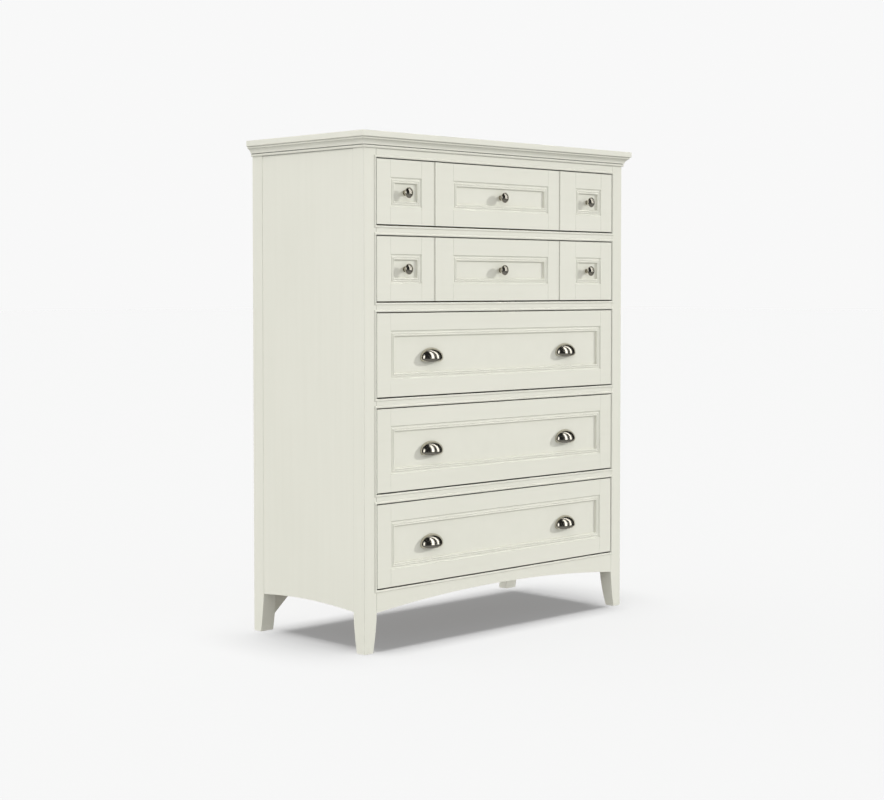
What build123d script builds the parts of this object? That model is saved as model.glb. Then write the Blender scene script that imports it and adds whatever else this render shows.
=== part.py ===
from build123d import *
import os

# A tall chest of five drawers in painted wood. Millimetres, +Z up, +X to the right seen from the front,
# +Y towards the back. The origin is on the floor, at the centre of the top board's outline.

# Overall size, and the case under the top board
HEIGHT = 1321.0
TOP_WIDTH = 1041.0
TOP_DEPTH = 471.0
OVERHANG = 21.0
CASE_HALF = TOP_WIDTH / 2 - OVERHANG
FRONT = -TOP_DEPTH / 2 + OVERHANG
BACK = TOP_DEPTH / 2

# Top board: a square-edged upper part over a narrower rounded lip
BOARD_UPPER = 15.5
BOARD_LIP = 5.5
LIP_OVERHANG = 16.5
LIP_ROUND = 2.5
BOARD_EASE = 2.0
CASE_TOP = HEIGHT - BOARD_UPPER - BOARD_LIP

# Crown moulding under the board: a cove over a bead, parted by a groove. Heights are from its bottom
CROWN_HEIGHT = 20.3
CROWN_OUT = 13.0
CROWN_BOTTOM = CASE_TOP - CROWN_HEIGHT
CROWN_FOOT = 3.2
CROWN_BEAD_OUT = 4.6
CROWN_BEAD_TOP = 6.6
CROWN_GROOVE = 2.2
COVE_FOOT = 7.8
COVE_FOOT_OUT = 5.8
COVE_FILLET = 1.2
COVE_RADIUS = 13.0

# Corner posts, which run down into the tapered feet
POST = 42.0
POST_EASE = 1.5
TAPER_TOP = 104.0
TAPER = 13.0
TAPER_MIDDLE = 4.7
OPENING_HALF = CASE_HALF - POST
GLIDE_RADIUS = 10.0
GLIDE_THICK = 4.0
GLIDE_PROUD = 1.5

# Side panels, set back a little from the posts' outer faces, with a low arch along the bottom
PANEL_THICK = 14.0
PANEL_SETBACK = 1.0
SIDE_BOTTOM = 105.0
SIDE_ARCH = 9.0

# Front rails and apron. The openings go down from the top of the first, with equal rails between them
FIRST_OPENING_TOP = 1256.4
OPENING_HEIGHTS = [171.0, 171.0, 219.4, 219.4, 219.4]
CASE_RAIL = 24.0
RAIL_DEPTH = 40.0
APRON_THICK = 20.0
APRON_BOTTOM = 103.0
APRON_ARCH = 25.0
BEAD_WIDTH = 6.5
BEAD_PROUD = 2.2
JOINT_EASE = 0.4

# Back: a thin panel in the rear posts' rebates, three rails and two angled corner brackets
BACK_THICK = 6.0
BACK_REBATE = 8.0
REAR_RAIL_THICK = 20.0
REAR_RAIL_HEIGHT = 60.0
REAR_RAIL_BOTTOMS = [SIDE_BOTTOM, 612.0, CASE_TOP - REAR_RAIL_HEIGHT]
BRACKET_WIDTH = 77.0
BRACKET_DROP = 68.0

# Drawer fronts: inset in the openings, framed round recessed panels
SIDE_GAP = 2.0
TOP_GAP = 2.5
BOTTOM_GAP = 3.5
FRONT_THICK = 20.0
STILE = 47.0
RAIL = 45.0
RECESS = 6.0
TONGUE = 8.0
TONGUE_THICK = 6.0
FRONT_HALF = OPENING_HALF - SIDE_GAP

# Mouldings round the panels: a hollow and two beads. Each point is (inward, height over the panel)
MOULDING = 15.0
MOULDING_EDGE = 5.4
HOLLOW_MIDDLE = (2.0, 3.6)
HOLLOW_END = (5.6, 3.9)
FIRST_CREST = (7.7, 4.7)
FIRST_END = (9.6, 3.6)
LAST_CREST = (12.6, 4.9)
LAST_END = (MOULDING, 2.4)
MITRE_REACH = 20.0

# The two top fronts carry two upright strips that part them into small, wide and small fronts
SMALL_FRONT = 203.0
STRIP = 21.0
STRIP_PROUD = 2.0
SPLIT_DRAWERS = 2

# Drawer boxes: dovetailed, with the bottom let into grooves
BOX_LENGTH = 380.0
BOX_SIDE = 12.0
BOX_FLOOR = 6.0
BOX_GROOVE = 6.0
BOX_FLOOR_UP = 12.0
BOX_LIFT = 14.0
BOX_HEADROOM = 27.0
TAIL_PITCH = 44.0
TAIL_WIDE = 27.0
TAIL_NARROW = 22.5

# Telescopic side slides, in three nested members
SLIDE_THICK = 12.7
SLIDE_LENGTH = 350.0
SLIDE_FRONT = FRONT + 24.0
STEEL = 1.5
CASE_MEMBER = 45.0
MID_MEMBER = 34.0
DRAWER_MEMBER = 24.0
MID_OFFSET = 3.0
CASE_LIP = 8.0
MID_LIP = 6.5
DRAWER_LIP = 5.0
CLEAT_HEIGHT = 60.0

# Knobs, cup pulls and the screws that hold them and the drawer fronts
KNOB_LENGTH = 24.0
KNOB_RADIUS = 14.2
KNOB_BASE = 1.6
KNOB_BASE_RADIUS = 7.2
KNOB_RING = (6.2, 4.6)
KNOB_WAIST = (4.2, 7.6)
KNOB_FLARE = (7.4, 12.0)
KNOB_RIM_LOW = 14.2
KNOB_RIM_HIGH = 18.2
KNOB_RIM_ROUND = 0.9
PULL_HALF = 39.5
PULL_DEPTH = 22.0
PULL_RISE = 27.5
PULL_DROP = 15.5
PULL_WALL = 1.8
PULL_LIP = 5.0
PULL_UP = -11.0
PULL_SPREAD = 261.0
PULL_POST_SPREAD = 32.0
PULL_POST_RADIUS = 4.5
PULL_POST_LENGTH = 12.0
PULL_POST_UP = 9.0
SCREW_RADIUS = 2.0
SCREW_HOLE = 2.3
SCREW_HEAD = 4.5
SCREW_HEAD_THICK = 2.5
SCREW_BITE = 9.0
SCREW_SEAT = FRONT + FRONT_THICK + BOX_SIDE
BORE_SPARE = 1.5
FIXING_INSET = 24.0
FIXING_LENGTH = 24.0


def stack_openings():
    """Each opening as its bottom and top heights, from the top drawer down."""
    openings = []
    top = FIRST_OPENING_TOP
    for height in OPENING_HEIGHTS:
        openings.append((top - height, top))
        top -= height + CASE_RAIL
    return openings


OPENINGS = stack_openings()


def block(x, y, z):
    """A box from three (low, high) ranges."""
    size = [high - low for low, high in (x, y, z)]
    centre = [(high + low) / 2 for low, high in (x, y, z)]
    return Pos(*centre) * Box(*size)


def eased(solid, size, axis, last=False):
    """Chamfers the edges round one end face of a block: the first along an axis, or the last."""
    face = solid.faces().sort_by(axis)[-1 if last else 0]
    return chamfer(face.edges(), size)


def prism(outline, plane, length):
    """Extrudes a closed outline to both sides of a plane, half the length each way."""
    return extrude(plane * make_face(outline), length / 2, both=True)


def both_sides(solid):
    """A left-hand piece and its mirror image."""
    return [solid, solid.mirror(Plane.YZ)]


def save(name, solids):
    """Writes one node, as a compound of its separate solids."""
    whole = [piece for solid in solids for piece in solid.solids()]
    export_step(Compound(children=whole, label=name), f"parts/{name}.step")


def mitred_ring(profile, x_half, z_range, centre_x, y):
    """Four mitred strips round a rectangle. The profile runs inward along x, and forward along y."""
    low, high = z_range
    corners = [(-x_half, low), (-x_half, high), (x_half, high), (x_half, low)]
    strips = []
    for number, start in enumerate(corners):
        end = corners[(number + 1) % 4]
        middle = Vector((start[0] + end[0]) / 2, 0, (start[1] + end[1]) / 2)
        inward = (Vector(0, 0, (low + high) / 2) - middle).normalized()
        face = Plane(origin=middle, x_dir=inward, z_dir=inward.cross(Vector(0, -1, 0)))
        strip = prism(profile, face, 2 * (x_half + high))
        wedge = Polyline(*[
            (x + side * MITRE_REACH * (1 if x < 0 else -1), z + side * MITRE_REACH * (1 if z == low else -1))
            for (x, z), side in ((start, -1), (end, -1), (end, 1), (start, 1))
        ], close=True)
        strips.append(strip & prism(wedge, Plane.XZ, 4 * MITRE_REACH))
    return [Pos(centre_x, y, 0) * strip for strip in strips]


def top_board():
    upper = block(
        (-TOP_WIDTH / 2, TOP_WIDTH / 2), (-TOP_DEPTH / 2, BACK), (HEIGHT - BOARD_UPPER, HEIGHT)
    )
    lip_half = CASE_HALF + LIP_OVERHANG
    lip = block((-lip_half, lip_half), (FRONT - LIP_OVERHANG, BACK), (CASE_TOP, HEIGHT - BOARD_UPPER))
    outer = [edge for edge in lip.faces().sort_by(Axis.Z)[0].edges() if edge.center().Y < BACK - 1]
    return fillet(upper.edges(), BOARD_EASE) + fillet(outer, LIP_ROUND)


def crown_moulding():
    """Three lengths under the board, mitred at the front corners."""
    bead_top = (CROWN_FOOT, CROWN_BEAD_TOP)
    groove = (CROWN_GROOVE, CROWN_BEAD_TOP), (CROWN_GROOVE, COVE_FOOT)
    cove_start = (COVE_FOOT_OUT, COVE_FOOT + COVE_FILLET)
    cove_end = (CROWN_OUT, CROWN_HEIGHT - COVE_FILLET)
    section = (
        Polyline((0, CROWN_HEIGHT), (0, 0), (CROWN_FOOT, 0))
        + ThreePointArc((CROWN_FOOT, 0), (CROWN_BEAD_OUT, CROWN_BEAD_TOP / 2), bead_top)
        + Polyline(bead_top, *groove, (COVE_FOOT_OUT, COVE_FOOT), cove_start)
        + RadiusArc(cove_start, cove_end, COVE_RADIUS)
        + Polyline(cove_end, (CROWN_OUT, CROWN_HEIGHT), (0, CROWN_HEIGHT))
    )
    reach = 2 * OVERHANG
    corner = (-CASE_HALF, FRONT)
    outer = (-CASE_HALF - reach, FRONT - reach)
    front_plan = Polyline(corner, outer, (-outer[0], outer[1]), (-corner[0], corner[1]), close=True)
    side_plan = Polyline(corner, outer, (outer[0], BACK), (corner[0], BACK), close=True)
    front_face = Plane((0, FRONT, CROWN_BOTTOM), x_dir=(0, -1, 0), z_dir=(-1, 0, 0))
    side_face = Plane((-CASE_HALF, 0, CROWN_BOTTOM), x_dir=(-1, 0, 0), z_dir=(0, 1, 0))
    front = prism(section, front_face, 2 * TOP_WIDTH) & prism(front_plan, Plane.XY, 2.2 * HEIGHT)
    side = prism(section, side_face, 2 * TOP_WIDTH) & prism(side_plan, Plane.XY, 2.2 * HEIGHT)
    return [front, *both_sides(side)]


def taper_cut(face):
    """What the saw takes off the inner side of a foot, in a gentle curve."""
    outline = ThreePointArc((0, TAPER_TOP), (-TAPER_MIDDLE, TAPER_TOP / 2), (-TAPER, 0)) + Polyline(
        (-TAPER, 0), (-TAPER, -1), (1, -1), (1, TAPER_TOP), (0, TAPER_TOP)
    )
    return prism(outline, face, 3 * POST)


def glide_centre(y_outer, inward):
    """The middle of a foot's bottom, taken on the left."""
    return Vector(-CASE_HALF + (POST - TAPER) / 2, y_outer + inward * (POST - TAPER) / 2, 0)


def left_post(y_range):
    post = block((-CASE_HALF, -OPENING_HALF), y_range, (GLIDE_PROUD, CASE_TOP))
    return fillet(post.edges().filter_by(Axis.Z), POST_EASE)


def glide(centre):
    return Pos(centre.X, centre.Y, GLIDE_THICK / 2) * Cylinder(GLIDE_RADIUS, GLIDE_THICK)


def front_posts():
    """Tapered on both inner sides."""
    inner_x = Plane((-OPENING_HALF, FRONT, 0), x_dir=(1, 0, 0), z_dir=(0, -1, 0))
    inner_y = Plane((-CASE_HALF, FRONT + POST, 0), x_dir=(0, 1, 0), z_dir=(1, 0, 0))
    post = left_post((FRONT, FRONT + POST)) - taper_cut(inner_x) - taper_cut(inner_y)
    return both_sides(post - glide(glide_centre(FRONT, 1)))


def rear_posts():
    """Tapered on the front side only, and rebated for the back panel."""
    inner_y = Plane((-CASE_HALF, BACK - POST, 0), x_dir=(0, -1, 0), z_dir=(-1, 0, 0))
    post = left_post((BACK - POST, BACK)) - taper_cut(inner_y) - back_panel()
    return both_sides(post - glide(glide_centre(BACK, -1)))


def foot_glides():
    return both_sides(glide(glide_centre(FRONT, 1))) + both_sides(glide(glide_centre(BACK, -1)))


def side_panel():
    """The left panel: flat, with its bottom edge cut to a low arch."""
    outer = -CASE_HALF + PANEL_SETBACK
    y_low, y_high = FRONT + POST, BACK - POST
    panel = block((outer, outer + PANEL_THICK), (y_low, y_high), (SIDE_BOTTOM, CASE_TOP))
    arch = ThreePointArc(
        (y_low, SIDE_BOTTOM), ((y_low + y_high) / 2, SIDE_BOTTOM + SIDE_ARCH), (y_high, SIDE_BOTTOM)
    ) + Line((y_high, SIDE_BOTTOM), (y_low, SIDE_BOTTOM))
    panel = eased(panel, JOINT_EASE, Axis.X)
    return panel - prism(arch, Plane.YZ, 3 * CASE_HALF)


def back_panel():
    half = OPENING_HALF + BACK_REBATE
    return block((-half, half), (BACK - BACK_THICK, BACK), (SIDE_BOTTOM, CASE_TOP))


def rear_rails():
    y_range = (BACK - BACK_THICK - REAR_RAIL_THICK, BACK - BACK_THICK)
    x_range = (-OPENING_HALF, OPENING_HALF)
    return [block(x_range, y_range, (z, z + REAR_RAIL_HEIGHT)) for z in REAR_RAIL_BOTTOMS]


def rear_corner_brackets():
    """Triangles in the corners between the bottom rear rail and the rear feet."""
    outline = Polyline(
        (-OPENING_HALF, SIDE_BOTTOM), (-OPENING_HALF + BRACKET_WIDTH, SIDE_BOTTOM),
        (-OPENING_HALF, SIDE_BOTTOM - BRACKET_DROP), close=True,
    )
    bracket = prism(outline, Plane.XZ, REAR_RAIL_THICK)
    return both_sides(Pos(0, BACK - BACK_THICK - REAR_RAIL_THICK / 2, 0) * bracket)


def drawer_rails():
    """The rails over, between and under the openings, down to the apron."""
    tops = [CASE_TOP] + [bottom for bottom, _ in OPENINGS[:-1]]
    bottoms = [top for _, top in OPENINGS]
    rails = []
    for low, high in zip(bottoms, tops):
        rail = block((-OPENING_HALF, OPENING_HALF), (FRONT, FRONT + RAIL_DEPTH), (low, high))
        rails.append(eased(rail, JOINT_EASE, Axis.Y))
    return rails


def front_apron():
    top = OPENINGS[-1][0]
    apron = block((-OPENING_HALF, OPENING_HALF), (FRONT, FRONT + APRON_THICK), (APRON_BOTTOM, top))
    arch = ThreePointArc(
        (-OPENING_HALF, APRON_BOTTOM), (0, APRON_BOTTOM + APRON_ARCH), (OPENING_HALF, APRON_BOTTOM)
    ) + Line((OPENING_HALF, APRON_BOTTOM), (-OPENING_HALF, APRON_BOTTOM))
    return eased(apron, JOINT_EASE, Axis.Y) - prism(arch, Plane.XZ, 3 * CASE_HALF)


def opening_beads():
    """A half-round bead on the frame, round each opening."""
    section = Line((0, 0), (-BEAD_WIDTH, 0)) + ThreePointArc(
        (-BEAD_WIDTH, 0), (-BEAD_WIDTH / 2, BEAD_PROUD), (0, 0)
    )
    return [
        strip for opening in OPENINGS for strip in mitred_ring(section, OPENING_HALF, opening, 0, FRONT)
    ]


def box_heights(opening):
    low, high = opening
    return low + BOX_LIFT, high - BOX_HEADROOM


def slide_height(opening):
    low, high = box_heights(opening)
    return (low + high) / 2


def slide_cleats():
    """Battens between the posts, which pack the slides out to the posts' inner faces."""
    inner = -CASE_HALF + PANEL_SETBACK + PANEL_THICK
    cleats = []
    for opening in OPENINGS:
        z = slide_height(opening)
        cleat = block(
            (inner, -OPENING_HALF), (FRONT + POST, BACK - POST), (z - CLEAT_HEIGHT / 2, z + CLEAT_HEIGHT / 2)
        )
        cleats += both_sides(cleat)
    return cleats


def channel(x_web, lip, height, z, open_right):
    """A left-hand slide member: an upright web with a lip along each edge."""
    web_far = x_web + STEEL
    lips = (web_far, web_far + lip) if open_right else (x_web - lip, x_web)
    y_range = (SLIDE_FRONT, SLIDE_FRONT + SLIDE_LENGTH)
    low, high = z - height / 2, z + height / 2
    return (
        block((x_web, web_far), y_range, (low, high))
        + block(lips, y_range, (low, low + STEEL))
        + block(lips, y_range, (high - STEEL, high))
    )


def slide_case_members():
    return [
        side for opening in OPENINGS
        for side in both_sides(channel(-OPENING_HALF, CASE_LIP, CASE_MEMBER, slide_height(opening), True))
    ]


def slide_mid_members(opening):
    x_web = -OPENING_HALF + MID_OFFSET
    return both_sides(channel(x_web, MID_LIP, MID_MEMBER, slide_height(opening), True))


def slide_runners(opening):
    x_web = -OPENING_HALF + SLIDE_THICK - STEEL
    return both_sides(channel(x_web, DRAWER_LIP, DRAWER_MEMBER, slide_height(opening), False))


def front_bays(split):
    """Each panel of a front, as its centre and the half width of its opening."""
    if not split:
        return [(0, FRONT_HALF - STILE)]
    small_centre = FRONT_HALF - SMALL_FRONT / 2
    wide_half = FRONT_HALF - SMALL_FRONT - STRIP - STILE
    return [(-small_centre, SMALL_FRONT / 2 - STILE), (0, wide_half), (small_centre, SMALL_FRONT / 2 - STILE)]


def front_heights(opening):
    return opening[0] + BOTTOM_GAP, opening[1] - TOP_GAP


def panel_heights(opening):
    low, high = front_heights(opening)
    return low + RAIL, high - RAIL


def front_panels(opening, split):
    """Recessed panels, each with a tongue all round that sits in the frame's groove."""
    low, high = panel_heights(opening)
    face = FRONT + RECESS
    tongue_face = FRONT + (FRONT_THICK + RECESS - TONGUE_THICK) / 2
    panels = []
    for centre, half in front_bays(split):
        body = block((centre - half, centre + half), (face, FRONT + FRONT_THICK), (low, high))
        tongue = block(
            (centre - half - TONGUE, centre + half + TONGUE), (tongue_face, tongue_face + TONGUE_THICK),
            (low - TONGUE, high + TONGUE),
        )
        panels.append(body + tongue)
    return panels


def front_frame(opening, split, panels):
    """Upright stiles the full height of the front, with rails between them, grooved for the panels."""
    low, high = front_heights(opening)
    y_range = (FRONT, FRONT + FRONT_THICK)
    bays = front_bays(split)
    edges = [-FRONT_HALF] + [side for centre, half in bays for side in (centre - half, centre + half)]
    edges.append(FRONT_HALF)
    members = [block((left, right), y_range, (low, high)) for left, right in zip(edges[::2], edges[1::2])]
    for centre, half in bays:
        for bottom in (low, high - RAIL):
            members.append(block((centre - half, centre + half), y_range, (bottom, bottom + RAIL)))
    members = [eased(member, JOINT_EASE, Axis.Y) for member in members]
    for panel in panels:
        members = [member - panel for member in members]
    if split:
        outer = -FRONT_HALF + SMALL_FRONT
        strip = block((outer, outer + STRIP), (FRONT - STRIP_PROUD, FRONT), (low, high))
        members += both_sides(eased(strip, JOINT_EASE, Axis.Y))
    return members


def panel_mouldings(opening, split):
    """Mitred mouldings round each panel."""
    section = (
        Line((0, 0), (0, MOULDING_EDGE))
        + ThreePointArc((0, MOULDING_EDGE), HOLLOW_MIDDLE, HOLLOW_END)
        + ThreePointArc(HOLLOW_END, FIRST_CREST, FIRST_END)
        + ThreePointArc(FIRST_END, LAST_CREST, LAST_END)
        + Polyline(LAST_END, (MOULDING, 0), (0, 0))
    )
    return [
        strip for centre, half in front_bays(split)
        for strip in mitred_ring(section, half, panel_heights(opening), centre, FRONT + RECESS)
    ]


def dovetails(x_range, y_end, y_root, z_range):
    """The tails on one end of a drawer side, flaring towards its end."""
    low, high = z_range
    count = round((high - low) / TAIL_PITCH)
    pitch = (high - low) / count
    tails = []
    for number in range(count):
        z = low + pitch * (number + 0.5)
        outline = Polyline(
            (y_root, z - TAIL_NARROW / 2), (y_end, z - TAIL_WIDE / 2),
            (y_end, z + TAIL_WIDE / 2), (y_root, z + TAIL_NARROW / 2), close=True,
        )
        middle = Plane.YZ.offset((x_range[0] + x_range[1]) / 2)
        tails.append(prism(outline, middle, x_range[1] - x_range[0]))
    return tails


def drawer_bottom(opening):
    inner = OPENING_HALF - SLIDE_THICK - BOX_SIDE
    box_front = FRONT + FRONT_THICK
    z = box_heights(opening)[0] + BOX_FLOOR_UP
    return block(
        (-inner - BOX_GROOVE, inner + BOX_GROOVE),
        (box_front + BOX_SIDE - BOX_GROOVE, box_front + BOX_LENGTH - BOX_SIDE + BOX_GROOVE),
        (z, z + BOX_FLOOR),
    )


def drawer_box(opening):
    """Two sides and two ends, dovetailed at the corners and grooved for the bottom."""
    outer = OPENING_HALF - SLIDE_THICK
    z_range = box_heights(opening)
    y_low = FRONT + FRONT_THICK
    y_high = y_low + BOX_LENGTH
    x_range = (-outer, -outer + BOX_SIDE)
    tails_front = dovetails(x_range, y_low, y_low + BOX_SIDE, z_range)
    tails_back = dovetails(x_range, y_high, y_high - BOX_SIDE, z_range)
    side = block(x_range, (y_low + BOX_SIDE, y_high - BOX_SIDE), z_range)
    for tail in tails_front + tails_back:
        side = side + tail
    ends = []
    for y_range, tails in (
        ((y_low, y_low + BOX_SIDE), tails_front), ((y_high - BOX_SIDE, y_high), tails_back)
    ):
        end = block((-outer, outer), y_range, z_range)
        for tail in tails:
            for cut in both_sides(tail):
                end = end - cut
        ends.append(end)
    bottom = drawer_bottom(opening)
    return [piece - bottom for piece in (*both_sides(side), *ends)]


def handle_points(opening, split):
    """Where each handle screw crosses the panel's face."""
    middle = (opening[0] + opening[1]) / 2
    if split:
        return [Vector(centre, FRONT + RECESS, middle) for centre, _ in front_bays(split)]
    return [
        Vector(side * PULL_SPREAD + offset, FRONT + RECESS, middle + PULL_UP + PULL_POST_UP)
        for side in (-1, 1) for offset in (-PULL_POST_SPREAD, PULL_POST_SPREAD)
    ]


def fixing_points(opening):
    """The four screws from inside the box that hold the front on."""
    low, high = box_heights(opening)
    x = FRONT_HALF - FIXING_INSET - SLIDE_THICK
    return [
        Vector(side * x, FRONT + FRONT_THICK, z)
        for side in (-1, 1) for z in (low + FIXING_INSET, high - FIXING_INSET)
    ]


def along_y(radius, x, y_range, z):
    """A cylinder along Y."""
    middle = (y_range[0] + y_range[1]) / 2
    return Pos(x, middle, z) * Rot(90, 0, 0) * Cylinder(radius, y_range[1] - y_range[0])


def screw(point, tip):
    """A pan-head screw driven forward from inside the drawer, to its tip."""
    head = along_y(SCREW_HEAD, point.X, (SCREW_SEAT, SCREW_SEAT + SCREW_HEAD_THICK), point.Z)
    head = fillet(head.faces().sort_by(Axis.Y)[-1].edges(), SCREW_HEAD_THICK / 2)
    return head + along_y(SCREW_RADIUS, point.X, (tip, SCREW_SEAT), point.Z)


def drawer_screws(opening, split):
    handles = [screw(point, point.Y - SCREW_BITE) for point in handle_points(opening, split)]
    fixings = [screw(point, SCREW_SEAT - FIXING_LENGTH) for point in fixing_points(opening)]
    return handles + fixings


def drilled(pieces, points, radius, y_range):
    """Bores each point's hole through whichever pieces it meets."""
    for point in points:
        hole = along_y(radius, point.X, y_range, point.Z)
        pieces = [piece - hole if (piece & hole) else piece for piece in pieces]
    return pieces


def knob(point):
    """A turned knob: a round foot, a ring, a waist, and a flared head with a low dome."""
    rim_inner = KNOB_RADIUS - KNOB_RIM_ROUND
    rim_middle = (KNOB_RADIUS, (KNOB_RIM_LOW + KNOB_RIM_HIGH) / 2)
    rim_low, rim_high = (rim_inner, KNOB_RIM_LOW), (rim_inner, KNOB_RIM_HIGH)
    dome_height = KNOB_LENGTH - KNOB_RIM_HIGH
    dome_radius = (rim_inner**2 + dome_height**2) / (2 * dome_height)
    foot = (KNOB_WAIST[0], KNOB_BASE)
    outline = (
        Polyline((0, 0), (KNOB_BASE_RADIUS, 0), (KNOB_BASE_RADIUS, KNOB_BASE), foot)
        + ThreePointArc(foot, KNOB_RING, KNOB_WAIST)
        + ThreePointArc(KNOB_WAIST, KNOB_FLARE, rim_low)
        + ThreePointArc(rim_low, rim_middle, rim_high)
        + RadiusArc(rim_high, (0, KNOB_LENGTH), -dome_radius)
        + Line((0, KNOB_LENGTH), (0, 0))
    )
    body = revolve(make_face(outline), Axis.Y)
    bore = along_y(SCREW_RADIUS, 0, (0, SCREW_BITE + BORE_SPARE), 0)
    return Pos(point) * Rot(0, 0, 180) * (body - bore)


def half_egg(half, depth, height):
    """Half of an ellipsoid, forward of the XZ plane, with its upper or lower half kept."""
    whole = scale(Sphere(1), by=(half, depth, abs(height)))
    big = 2 * half
    z_range = (0, big) if height > 0 else (-big, 0)
    return whole & block((-big, big), (-big, 0), z_range)


def cup_pull(x, z):
    """A hollow half dome, open below, whose lower lip turns in under the fingers."""
    wall = PULL_WALL
    upper = half_egg(PULL_HALF, PULL_DEPTH, PULL_RISE) - half_egg(
        PULL_HALF - wall, PULL_DEPTH - wall, PULL_RISE - wall
    )
    lower = half_egg(PULL_HALF, PULL_DEPTH, -PULL_DROP) - half_egg(
        PULL_HALF - wall, PULL_DEPTH - wall, -(PULL_DROP - wall)
    )
    mouth = extrude(Ellipse(PULL_HALF - PULL_LIP, PULL_DEPTH - PULL_LIP), -2 * PULL_DROP)
    pull = upper + (lower - mouth)
    for side in (-1, 1):
        post = along_y(PULL_POST_RADIUS, side * PULL_POST_SPREAD, (-PULL_POST_LENGTH, 0), PULL_POST_UP)
        bore = along_y(SCREW_RADIUS, side * PULL_POST_SPREAD, (-SCREW_BITE - BORE_SPARE, 0), PULL_POST_UP)
        inside = half_egg(PULL_HALF - wall / 2, PULL_DEPTH - wall / 2, PULL_RISE - wall / 2)
        pull = pull + (post & inside) - bore
    return Pos(x, FRONT + RECESS, z + PULL_UP) * pull


def save_drawer(number, opening):
    split = number <= SPLIT_DRAWERS
    name = f"drawer_{number}"
    handles = handle_points(opening, split)
    fixings = fixing_points(opening)
    panels = front_panels(opening, split)
    front_back = FRONT + FRONT_THICK
    frame = front_frame(opening, split, panels)
    panels = drilled(panels, handles, SCREW_HOLE, (FRONT, front_back))
    frame = drilled(frame, fixings, SCREW_RADIUS, (SCREW_SEAT - FIXING_LENGTH, front_back))
    box = drilled(drawer_box(opening), handles + fixings, SCREW_HOLE, (front_back, SCREW_SEAT))
    save(f"{name}_front_frame", frame)
    save(f"{name}_front_panels", panels)
    save(f"{name}_panel_mouldings", panel_mouldings(opening, split))
    save(f"{name}_box", box)
    save(f"{name}_bottom", [drawer_bottom(opening)])
    save(f"{name}_slide_runners", slide_runners(opening))
    save(f"{name}_slide_mid_members", slide_mid_members(opening))
    save(f"{name}_screws", drawer_screws(opening, split))
    if split:
        save(f"{name}_knobs", [knob(point) for point in handles])
    else:
        middle = (opening[0] + opening[1]) / 2
        save(f"{name}_cup_pulls", [cup_pull(side * PULL_SPREAD, middle) for side in (-1, 1)])


os.makedirs("parts", exist_ok=True)
left_panel, right_panel = both_sides(side_panel())
save("top_board", [top_board()])
save("crown_moulding", crown_moulding())
save("front_posts", front_posts())
save("rear_posts", rear_posts())
save("foot_glides", foot_glides())
save("side_panel_left", [left_panel])
save("side_panel_right", [right_panel])
save("back_panel", [back_panel()])
save("rear_rails", rear_rails())
save("rear_corner_brackets", rear_corner_brackets())
save("drawer_rails", drawer_rails())
save("front_apron", [front_apron()])
save("opening_beads", opening_beads())
save("slide_cleats", slide_cleats())
save("slide_case_members", slide_case_members())
for drawer_number, drawer_opening in enumerate(OPENINGS, start=1):
    save_drawer(drawer_number, drawer_opening)
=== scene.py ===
import math

import bpy
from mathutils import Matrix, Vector


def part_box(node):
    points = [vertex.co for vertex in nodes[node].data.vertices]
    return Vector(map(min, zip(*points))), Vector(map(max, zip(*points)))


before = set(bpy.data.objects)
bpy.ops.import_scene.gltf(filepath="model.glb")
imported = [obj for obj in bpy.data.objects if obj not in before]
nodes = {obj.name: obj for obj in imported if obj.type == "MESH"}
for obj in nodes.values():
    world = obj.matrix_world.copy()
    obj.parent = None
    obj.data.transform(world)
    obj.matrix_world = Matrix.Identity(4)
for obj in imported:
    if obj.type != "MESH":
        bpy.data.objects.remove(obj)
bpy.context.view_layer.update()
scene = bpy.context.scene

# Paint, wood, metal and nylon colours, as linear values; the near-black paint colour is painted shade for gaps
# and grooves
CREAM = (0.760, 0.755, 0.665)
CREAM_DEEP = (0.735, 0.732, 0.640)
PAINTED_SHADE_COLOUR = (0.045, 0.042, 0.034)
BIRCH = (0.60, 0.42, 0.24)
BIRCH_DARK = (0.47, 0.31, 0.16)
PLY = (0.66, 0.50, 0.32)
PLY_DARK = (0.55, 0.39, 0.23)
PINE = (0.52, 0.36, 0.20)
PINE_DARK = (0.38, 0.24, 0.12)
BOARD = (0.30, 0.22, 0.14)
BOARD_DARK = (0.23, 0.16, 0.10)
NICKEL = (0.62, 0.59, 0.51)
NICKEL_DEEP = (0.55, 0.52, 0.44)
ZINC = (0.60, 0.62, 0.65)
ZINC_DEEP = (0.50, 0.52, 0.55)
NYLON = (0.055, 0.040, 0.028)

# Noise stretch of grain that runs along X, Y and Z, and of faint grain that suits rails and stiles alike
ACROSS, DEEP, UPRIGHT = (0.04, 1, 1), (1, 0.04, 1), (1, 1, 0.04)
EITHER_WAY = (0.5, 1, 0.5)

# How much finer wood's pores are than its bands
PORE_FINENESS = 26

# Painted shade in the paint's gaps, grooves and joints, darker where occlusion is high: how far occlusion is
# felt, in metres; the openness that is fully dark; and the openness that keeps the full colour, for each kind
# of piece
SHADE_PAINT_REACH = 0.009
SHADE_PAINT_DARKEST = 0.15
SIDE_OPEN = 0.85
FRAMING_OPEN = 0.66
CROWN_OPEN = 0.78

# Camera: the eye's place from the floor under the near front corner, in metres; the yaw and the downward
# pitch, in degrees; the sensor and the lens, in millimetres; the shift, as a share of the picture's width; and
# the far clip, in metres
EYE = Vector((-2.8663, -3.2292, 0.9265))
YAW = 44.188
PITCH = 2.2
SENSOR = 36
LENS = 70.1063
SHIFT_UP = -0.05132
FAR_CLIP = 100

# Fill light: its level at the horizon, its loss towards the zenith and its gain towards the back left; and
# the backdrop's level
FILL = 1.46
FILL_ZENITH_LOSS = 0.6
FILL_GAIN = 0.48
BACKDROP = 0.94

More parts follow.
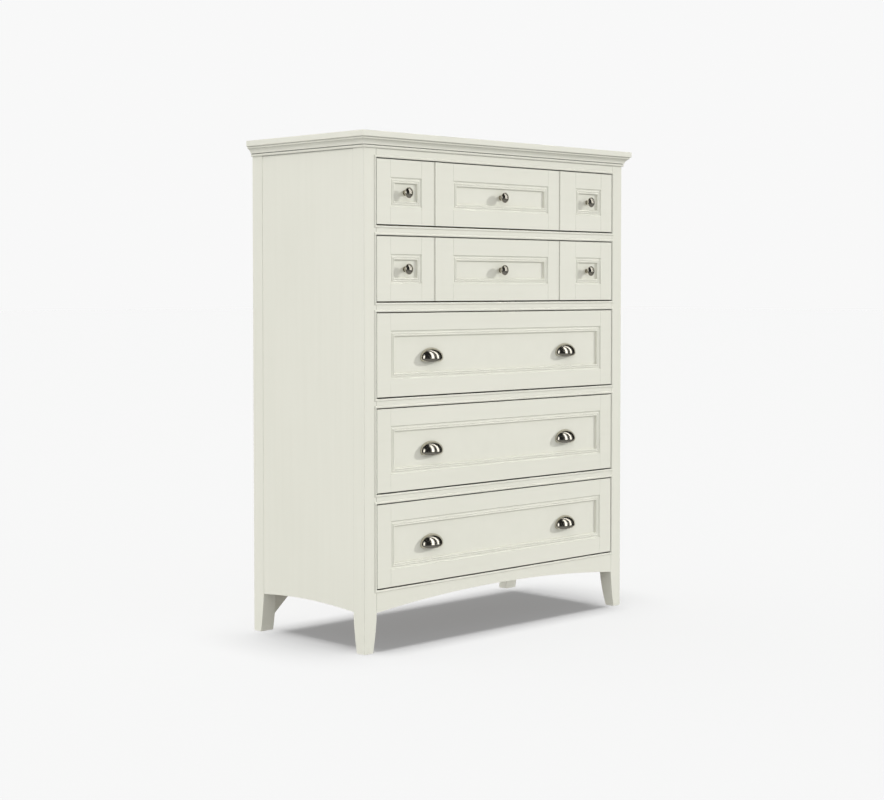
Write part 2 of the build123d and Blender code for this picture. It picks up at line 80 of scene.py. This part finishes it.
# Softboxes, which only reflections show: degrees right of the front, width in degrees, low and high ends as
# heights on a unit sphere, and strength; then how wide their soft edges are, in radians across and as a height
SOFTBOXES = [(-50, 18, -0.15, 0.5, 1.9), (23, 11, -0.15, 0.8, 2.4), (53, 7, -0.15, 0.97, 2.4)]
SOFTBOX_EDGE = 0.05
SOFTBOX_RIM = 0.06

# What reflections show besides the softboxes: a dim floor up to one height on the sphere, and a dark room
# from the other, with a fade between
REFLECTED_FLOOR = 0.26
REFLECTED_ROOM = 0.03
REFLECTED_FLOOR_TOP = -0.6
REFLECTED_ROOM_BASE = -0.1

# Key: where it points, its strength, and its spread in degrees
KEY_DIRECTION = Vector((-2.12, 1.0, -0.63))
KEY = 2.25
KEY_SPREAD = 2

# Floor: its half size, its albedo, its glow, and its share of light sent back to the chest
FLOOR_REACH = 60.0
FLOOR_ALBEDO = 0.12
FLOOR_GLOW = 0.25
FLOOR_BOUNCE = 0.6

# The floor's overhead lamp: its strength, its spread in degrees, and the only nodes that block it
OVERHEAD = 14.6
OVERHEAD_SPREAD = 24
OVERHEAD_SHADE = ["drawer_5_bottom", "drawer_5_box", "drawer_5_front_frame", "front_apron", "slide_cleats"]


# Node helpers

class Tree:
    """A short way to add and link shader nodes."""

    def __init__(self, owner):
        owner.use_nodes = True
        self.tree = owner.node_tree
        self.tree.nodes.clear()

    def add(self, kind, **values):
        node = self.tree.nodes.new("ShaderNode" + kind)
        for name, value in values.items():
            setattr(node, name, value)
        return node

    def link(self, source, target):
        self.tree.links.new(source, target)

    def feed(self, socket, value):
        """Sets a socket to a number or a colour, or links an output to it."""
        if isinstance(value, bpy.types.NodeSocket):
            self.link(value, socket)
        elif isinstance(value, tuple):
            socket.default_value = (*value, 1)
        else:
            socket.default_value = value

    def math(self, operation, a, b=None):
        """A Math node. Each operand is a number or an output."""
        node = self.add("Math", operation=operation)
        self.feed(node.inputs[0], a)
        if b is not None:
            self.feed(node.inputs[1], b)
        return node.outputs[0]

    def noise(self, scale, stretch=(1, 1, 1), detail=2.0, roughness=0.5, distortion=0.0):
        """Noise over object coordinates, in metres, stretched along each axis."""
        mapping = self.add("Mapping")
        mapping.inputs["Scale"].default_value = stretch
        self.link(self.add("TexCoord").outputs["Object"], mapping.inputs["Vector"])
        node = self.add("TexNoise")
        node.inputs["Scale"].default_value = scale
        node.inputs["Detail"].default_value = detail
        node.inputs["Roughness"].default_value = roughness
        node.inputs["Distortion"].default_value = distortion
        self.link(mapping.outputs["Vector"], node.inputs["Vector"])
        return node.outputs["Fac"]

    def spread(self, value, low, high, to_low=0.0, to_high=1.0):
        """Maps a range of a value onto another range."""
        node = self.add("MapRange")
        self.link(value, node.inputs["Value"])
        ends = {"From Min": low, "From Max": high, "To Min": to_low, "To Max": to_high}
        for name, number in ends.items():
            node.inputs[name].default_value = number
        return node.outputs["Result"]

    def blend(self, factor, first, second, colour=True):
        """Mixes two colours or, if asked, two numbers. Each may be an output."""
        node = self.add("Mix", data_type="RGBA" if colour else "FLOAT")
        kind = "RGBA" if colour else "VALUE"
        self.link(factor, node.inputs["Factor"])
        for name, value in (("A", first), ("B", second)):
            self.feed(next(s for s in node.inputs if s.name == name and s.type == kind), value)
        return next(s for s in node.outputs if s.type == kind)

    def painted_crevice_shade(self, opened):
        """Painted shade mask from occlusion: 0 deep in a groove or gap, 1 where the face is at least as open
        as asked.
        """
        node = self.add("AmbientOcclusion", samples=8)
        node.inputs["Distance"].default_value = SHADE_PAINT_REACH
        return self.spread(node.outputs["AO"], SHADE_PAINT_DARKEST, opened)

    def bump(self, height, strength, distance, under=None):
        node = self.add("Bump")
        node.inputs["Strength"].default_value = strength
        node.inputs["Distance"].default_value = distance
        self.link(height, node.inputs["Height"])
        if under:
            self.link(under, node.inputs["Normal"])
        return node.outputs["Normal"]


def surface(name, colour, **sockets):
    """A material with one Principled shader, given plain values. Returns both, with the tree between them."""
    material = bpy.data.materials.new(name)
    tree = Tree(material)
    shader = tree.add("BsdfPrincipled")
    output = tree.add("OutputMaterial")
    tree.link(shader.outputs["BSDF"], output.inputs["Surface"])
    shader.inputs["Base Color"].default_value = (*colour, 1)
    material.diffuse_color = (*colour, 1)
    for socket, value in sockets.items():
        shader.inputs[socket].default_value = value
    return material, tree, shader


# Materials

def paint(name, grain, opened=None):
    """Sprayed satin paint over close-grained wood, whose grain is stretched as asked.

    Opened is how open a face must be to keep its full colour, below which painted shade darkens gaps and
    grooves; without it, no shade is painted.
    """
    material, tree, shader = surface(name, CREAM, Roughness=0.42)
    cloud = tree.noise(3.0, detail=3.0)
    streak = tree.noise(60.0, stretch=grain, detail=3.0)
    tone = tree.math("ADD", tree.math("MULTIPLY", cloud, 0.6), tree.math("MULTIPLY", streak, 0.4))
    coat = tree.blend(tree.spread(tone, 0.35, 0.65), CREAM_DEEP, CREAM)
    if opened:
        # Painted shade: the coat darkens in gaps, grooves and joints where occlusion is high
        coat = tree.blend(tree.painted_crevice_shade(opened), PAINTED_SHADE_COLOUR, coat)
    tree.link(coat, shader.inputs["Base Color"])
    tree.link(tree.spread(tree.noise(14.0), 0.3, 0.7, 0.37, 0.47), shader.inputs["Roughness"])
    grain_bump = tree.bump(streak, strength=0.10, distance=0.0006)
    peel = tree.bump(tree.noise(420.0, detail=1.0), strength=0.05, distance=0.0004, under=grain_bump)
    tree.link(peel, shader.inputs["Normal"])
    return material


def timber(name, light, dark, grain, roughness, bands_scale=9.0):
    """Bare or lacquered wood, with long grain bands and fine pores along the board."""
    material, tree, shader = surface(name, light, Roughness=roughness)
    bands = tree.noise(bands_scale, stretch=grain, detail=6.0, roughness=0.62, distortion=0.8)
    pores = tree.noise(bands_scale * PORE_FINENESS, stretch=grain)
    colour = tree.blend(tree.spread(bands, 0.36, 0.66), dark, light)
    speck = tree.spread(pores, 0.28, 0.42, 0.75, 1.0)
    dull = tree.add("HueSaturation")
    tree.link(colour, dull.inputs["Color"])
    tree.link(speck, dull.inputs["Value"])
    tree.link(dull.outputs["Color"], shader.inputs["Base Color"])
    tree.link(tree.spread(bands, 0.3, 0.7, roughness - 0.06, roughness + 0.08), shader.inputs["Roughness"])
    tree.link(tree.bump(pores, strength=0.25, distance=0.0005), shader.inputs["Normal"])
    return material


def brushed_nickel():
    material, tree, shader = surface("brushed_nickel", NICKEL, Metallic=1.0, Roughness=0.14)
    smudge = tree.noise(90.0, detail=3.0)
    brush = tree.noise(900.0, stretch=(1, 1, 0.08))
    tree.link(tree.blend(tree.spread(smudge, 0.3, 0.7), NICKEL_DEEP, NICKEL), shader.inputs["Base Color"])
    tree.link(tree.spread(brush, 0.3, 0.7, 0.11, 0.18), shader.inputs["Roughness"])
    tree.link(tree.bump(brush, strength=0.04, distance=0.0001), shader.inputs["Normal"])
    return material


def zinc_steel(name):
    material, tree, shader = surface(name, ZINC, Metallic=1.0, Roughness=0.36)
    spangle = tree.noise(160.0)
    tree.link(tree.blend(tree.spread(spangle, 0.3, 0.7), ZINC_DEEP, ZINC), shader.inputs["Base Color"])
    tree.link(tree.spread(spangle, 0.3, 0.7, 0.28, 0.45), shader.inputs["Roughness"])
    tree.link(tree.bump(tree.noise(1100.0), strength=0.06, distance=0.0001), shader.inputs["Normal"])
    return material


def nylon():
    material, tree, shader = surface("glide_nylon", NYLON, Roughness=0.5)
    tree.link(tree.spread(tree.noise(300.0), 0.3, 0.7, 0.42, 0.6), shader.inputs["Roughness"])
    tree.link(tree.bump(tree.noise(900.0), strength=0.1, distance=0.0002), shader.inputs["Normal"])
    return material


def dress(names, material):
    """Gives CAD nodes a material in place of their plain one."""
    for name in names:
        node = nodes[name]
        node.data.materials.clear()
        node.data.materials.append(material)


def parts(ending):
    """The names that share an ending, over all the drawers, such as drawer_1_box to drawer_5_box."""
    return [name for name in nodes if name.startswith("drawer_") and name.split("_", 2)[2:] == [ending]]


def dress_all():
    upright = paint("paint_upright", UPRIGHT)
    # The side, across and crown paints carry painted shade in their gaps, grooves and joints
    side = paint("paint_side_painted_shade", UPRIGHT, SIDE_OPEN)
    across = paint("paint_across_painted_shade", ACROSS, FRAMING_OPEN)
    crown = paint("paint_crown_painted_shade", ACROSS, CROWN_OPEN)
    plain = paint("paint_plain", EITHER_WAY)
    dress(["front_posts", "rear_posts"], upright)
    dress(["side_panel_left", "side_panel_right"], side)
    dress(["drawer_rails", "front_apron", "rear_corner_brackets", "opening_beads"], across)
    dress(parts("front_frame"), across)
    dress(["top_board", "crown_moulding"], crown)
    dress(parts("panel_mouldings") + parts("front_panels"), plain)
    dress(["back_panel"], timber("back_board", BOARD, BOARD_DARK, UPRIGHT, roughness=0.7, bands_scale=6.0))
    dress(["rear_rails"], timber("pine_across", PINE, PINE_DARK, ACROSS, roughness=0.62))
    dress(["slide_cleats"], timber("pine_deep", PINE, PINE_DARK, DEEP, roughness=0.62))
    dress(parts("box"), timber("birch_box", BIRCH, BIRCH_DARK, ACROSS, roughness=0.42))
    dress(parts("bottom"), timber("birch_ply", PLY, PLY_DARK, ACROSS, roughness=0.48, bands_scale=5.0))
    steel = zinc_steel("zinc_slide")
    dress(["slide_case_members"] + parts("slide_runners") + parts("slide_mid_members"), steel)
    dress(parts("screws"), zinc_steel("zinc_screw"))
    dress(parts("knobs") + parts("cup_pulls"), brushed_nickel())
    dress(["foot_glides"], nylon())


# Camera: nearly level eyes a little above the chest's middle, off its near front corner

def add_camera():
    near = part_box("front_posts")[0]
    data = bpy.data.cameras.new("camera")
    data.sensor_width = SENSOR
    data.lens = LENS
    data.shift_y = SHIFT_UP
    data.clip_end = FAR_CLIP
    camera = bpy.data.objects.new("camera", data)
    camera.location = Vector((near.x, near.y, 0)) + EYE
    camera.rotation_euler = (math.radians(90 - PITCH), 0, math.radians(-YAW))
    scene.collection.objects.link(camera)
    scene.camera = camera


# Light: a soft pale room, softboxes for reflections, a key from the right and the floor's own lamp

def add_world():
    world = bpy.data.worlds.new("studio")
    scene.world = world
    tree = Tree(world)
    axes = tree.add("SeparateXYZ")
    tree.link(tree.add("TexCoord").outputs["Generated"], axes.inputs["Vector"])
    x, y, z = axes.outputs
    fill = tree.math("SUBTRACT", FILL, tree.math("MULTIPLY", z, FILL_ZENITH_LOSS))
    fill = tree.math("ADD", fill, tree.math("MULTIPLY", tree.math("SUBTRACT", y, x), FILL_GAIN))

    def band(value, centre, half, soft):
        """1 within half of the centre, falling to 0 over a soft edge."""
        away = tree.math("ABSOLUTE", tree.math("SUBTRACT", value, centre))
        return tree.spread(away, half, half + soft, 1.0, 0.0)

    azimuth = tree.math("ARCTAN2", x, tree.math("MULTIPLY", y, -1.0))
    gloss = tree.spread(z, REFLECTED_FLOOR_TOP, REFLECTED_ROOM_BASE, REFLECTED_FLOOR, REFLECTED_ROOM)
    for degrees, width, low, high, strength in SOFTBOXES:
        across = band(azimuth, math.radians(degrees), math.radians(width / 2), SOFTBOX_EDGE)
        upward = band(z, (low + high) / 2, (high - low) / 2, SOFTBOX_RIM)
        box = tree.math("MULTIPLY", tree.math("MULTIPLY", across, upward), strength)
        gloss = tree.math("ADD", gloss, box)
    rays = tree.add("LightPath").outputs
    light = tree.blend(rays["Is Glossy Ray"], fill, gloss, colour=False)
    seen = tree.blend(rays["Is Camera Ray"], light, BACKDROP, colour=False)
    background = tree.add("Background")
    tree.link(seen, background.inputs["Color"])
    output = tree.add("OutputWorld")
    tree.link(background.outputs[0], output.inputs["Surface"])


def group(name, members):
    """A collection for light linking, kept out of the scene's own collections."""
    collection = bpy.data.collections.new(name)
    for member in members:
        collection.objects.link(member)
    return collection


def add_sun(name, energy, spread, receivers):
    """A sun that lights only its receivers. It points straight down until it is turned."""
    data = bpy.data.lights.new(name, "SUN")
    data.energy = energy
    data.angle = math.radians(spread)
    sun = bpy.data.objects.new(name, data)
    scene.collection.objects.link(sun)
    sun.light_linking.receiver_collection = group("lit_by_" + name, receivers)
    return sun


def add_key():
    """Lights the chest only, so that the floor keeps its even tone. Reflections don't show it."""
    key = add_sun("key", KEY, KEY_SPREAD, nodes.values())
    key.rotation_mode = "QUATERNION"
    key.rotation_quaternion = KEY_DIRECTION.to_track_quat("-Z", "Y")
    key.visible_glossy = False


def add_floor():
    """A plain pale floor with its own overhead lamp, which gives a soft shadow under the chest.

    The floor glows a little, so that the shadow isn't too deep, and sends only part of its light back.
    """
    mesh = bpy.data.meshes.new("floor")
    corners = [(FLOOR_REACH * x, FLOOR_REACH * y, 0) for x, y in ((-1, -1), (1, -1), (1, 1), (-1, 1))]
    mesh.from_pydata(corners, [], [(0, 1, 2, 3)])
    floor = bpy.data.objects.new("floor", mesh)
    scene.collection.objects.link(floor)
    floor.visible_glossy = False
    material, tree, shader = surface("floor_white", (FLOOR_ALBEDO,) * 3, Roughness=1.0)
    shader.inputs["Specular IOR Level"].default_value = 0.0
    shader.inputs["Emission Color"].default_value = (1, 1, 1, 1)
    back = tree.add("LightPath").outputs["Is Diffuse Ray"]
    for socket, level in (("Base Color", FLOOR_ALBEDO), ("Emission Strength", FLOOR_GLOW)):
        tree.link(tree.spread(back, 0, 1, level, level * FLOOR_BOUNCE), shader.inputs[socket])
    mesh.materials.append(material)
    overhead = add_sun("overhead", OVERHEAD, OVERHEAD_SPREAD, [floor])
    shade = [nodes[name] for name in OVERHEAD_SHADE]
    overhead.light_linking.blocker_collection = group("overhead_shade", shade)


dress_all()
add_camera()
add_world()
add_key()
add_floor()
scene.view_settings.view_transform = "Standard"
